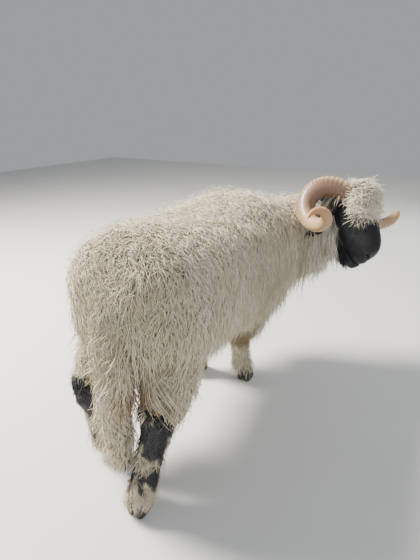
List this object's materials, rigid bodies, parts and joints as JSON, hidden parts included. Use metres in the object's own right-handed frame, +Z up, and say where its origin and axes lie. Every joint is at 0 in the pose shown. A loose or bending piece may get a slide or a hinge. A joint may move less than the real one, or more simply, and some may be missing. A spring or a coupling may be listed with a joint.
{
  "type": "sheep",
  "caption": "Life-size still figure of a horned mountain ram with long white fleece, black face and black leg patches, standing with its head turned to its right.",
  "frame": {"origin": "on the ground, under the middle of the whole animal's box", "axes": "+X forward along the body, +Y to the animal's left, +Z up"},
  "size_m": [1.3332, 0.7892, 0.8841],
  "materials": {
    "fleece": "creamy white wool in long locks",
    "black_hair": "short black hair",
    "horn": "ridged cream and tan horn",
    "claw": "dull dark hoof",
    "eye": "wet dark brown"
  },
  "bodies": {
    "root": {"torso": "fleece", "neck": "fleece", "tail": "fleece", "forelock": "fleece", "head": "black_hair", "horn_right": "horn", "ear_right": "black_hair", "eye_right": "eye", "hind_right_thigh": "fleece", "hind_right_shank": "black_hair", "fore_right_arm": "fleece", "fore_right_shank": "black_hair", "hind_right_claw_inner": "claw", "hind_right_claw_outer": "claw", "fore_right_claw_inner": "claw", "fore_right_claw_outer": "claw", "horn_left": "horn", "ear_left": "black_hair", "eye_left": "eye", "hind_left_thigh": "fleece", "hind_left_shank": "black_hair", "fore_left_arm": "fleece", "fore_left_shank": "black_hair", "hind_left_claw_inner": "claw", "hind_left_claw_outer": "claw", "fore_left_claw_inner": "claw", "fore_left_claw_outer": "claw"}
  },
  "joints": []
}
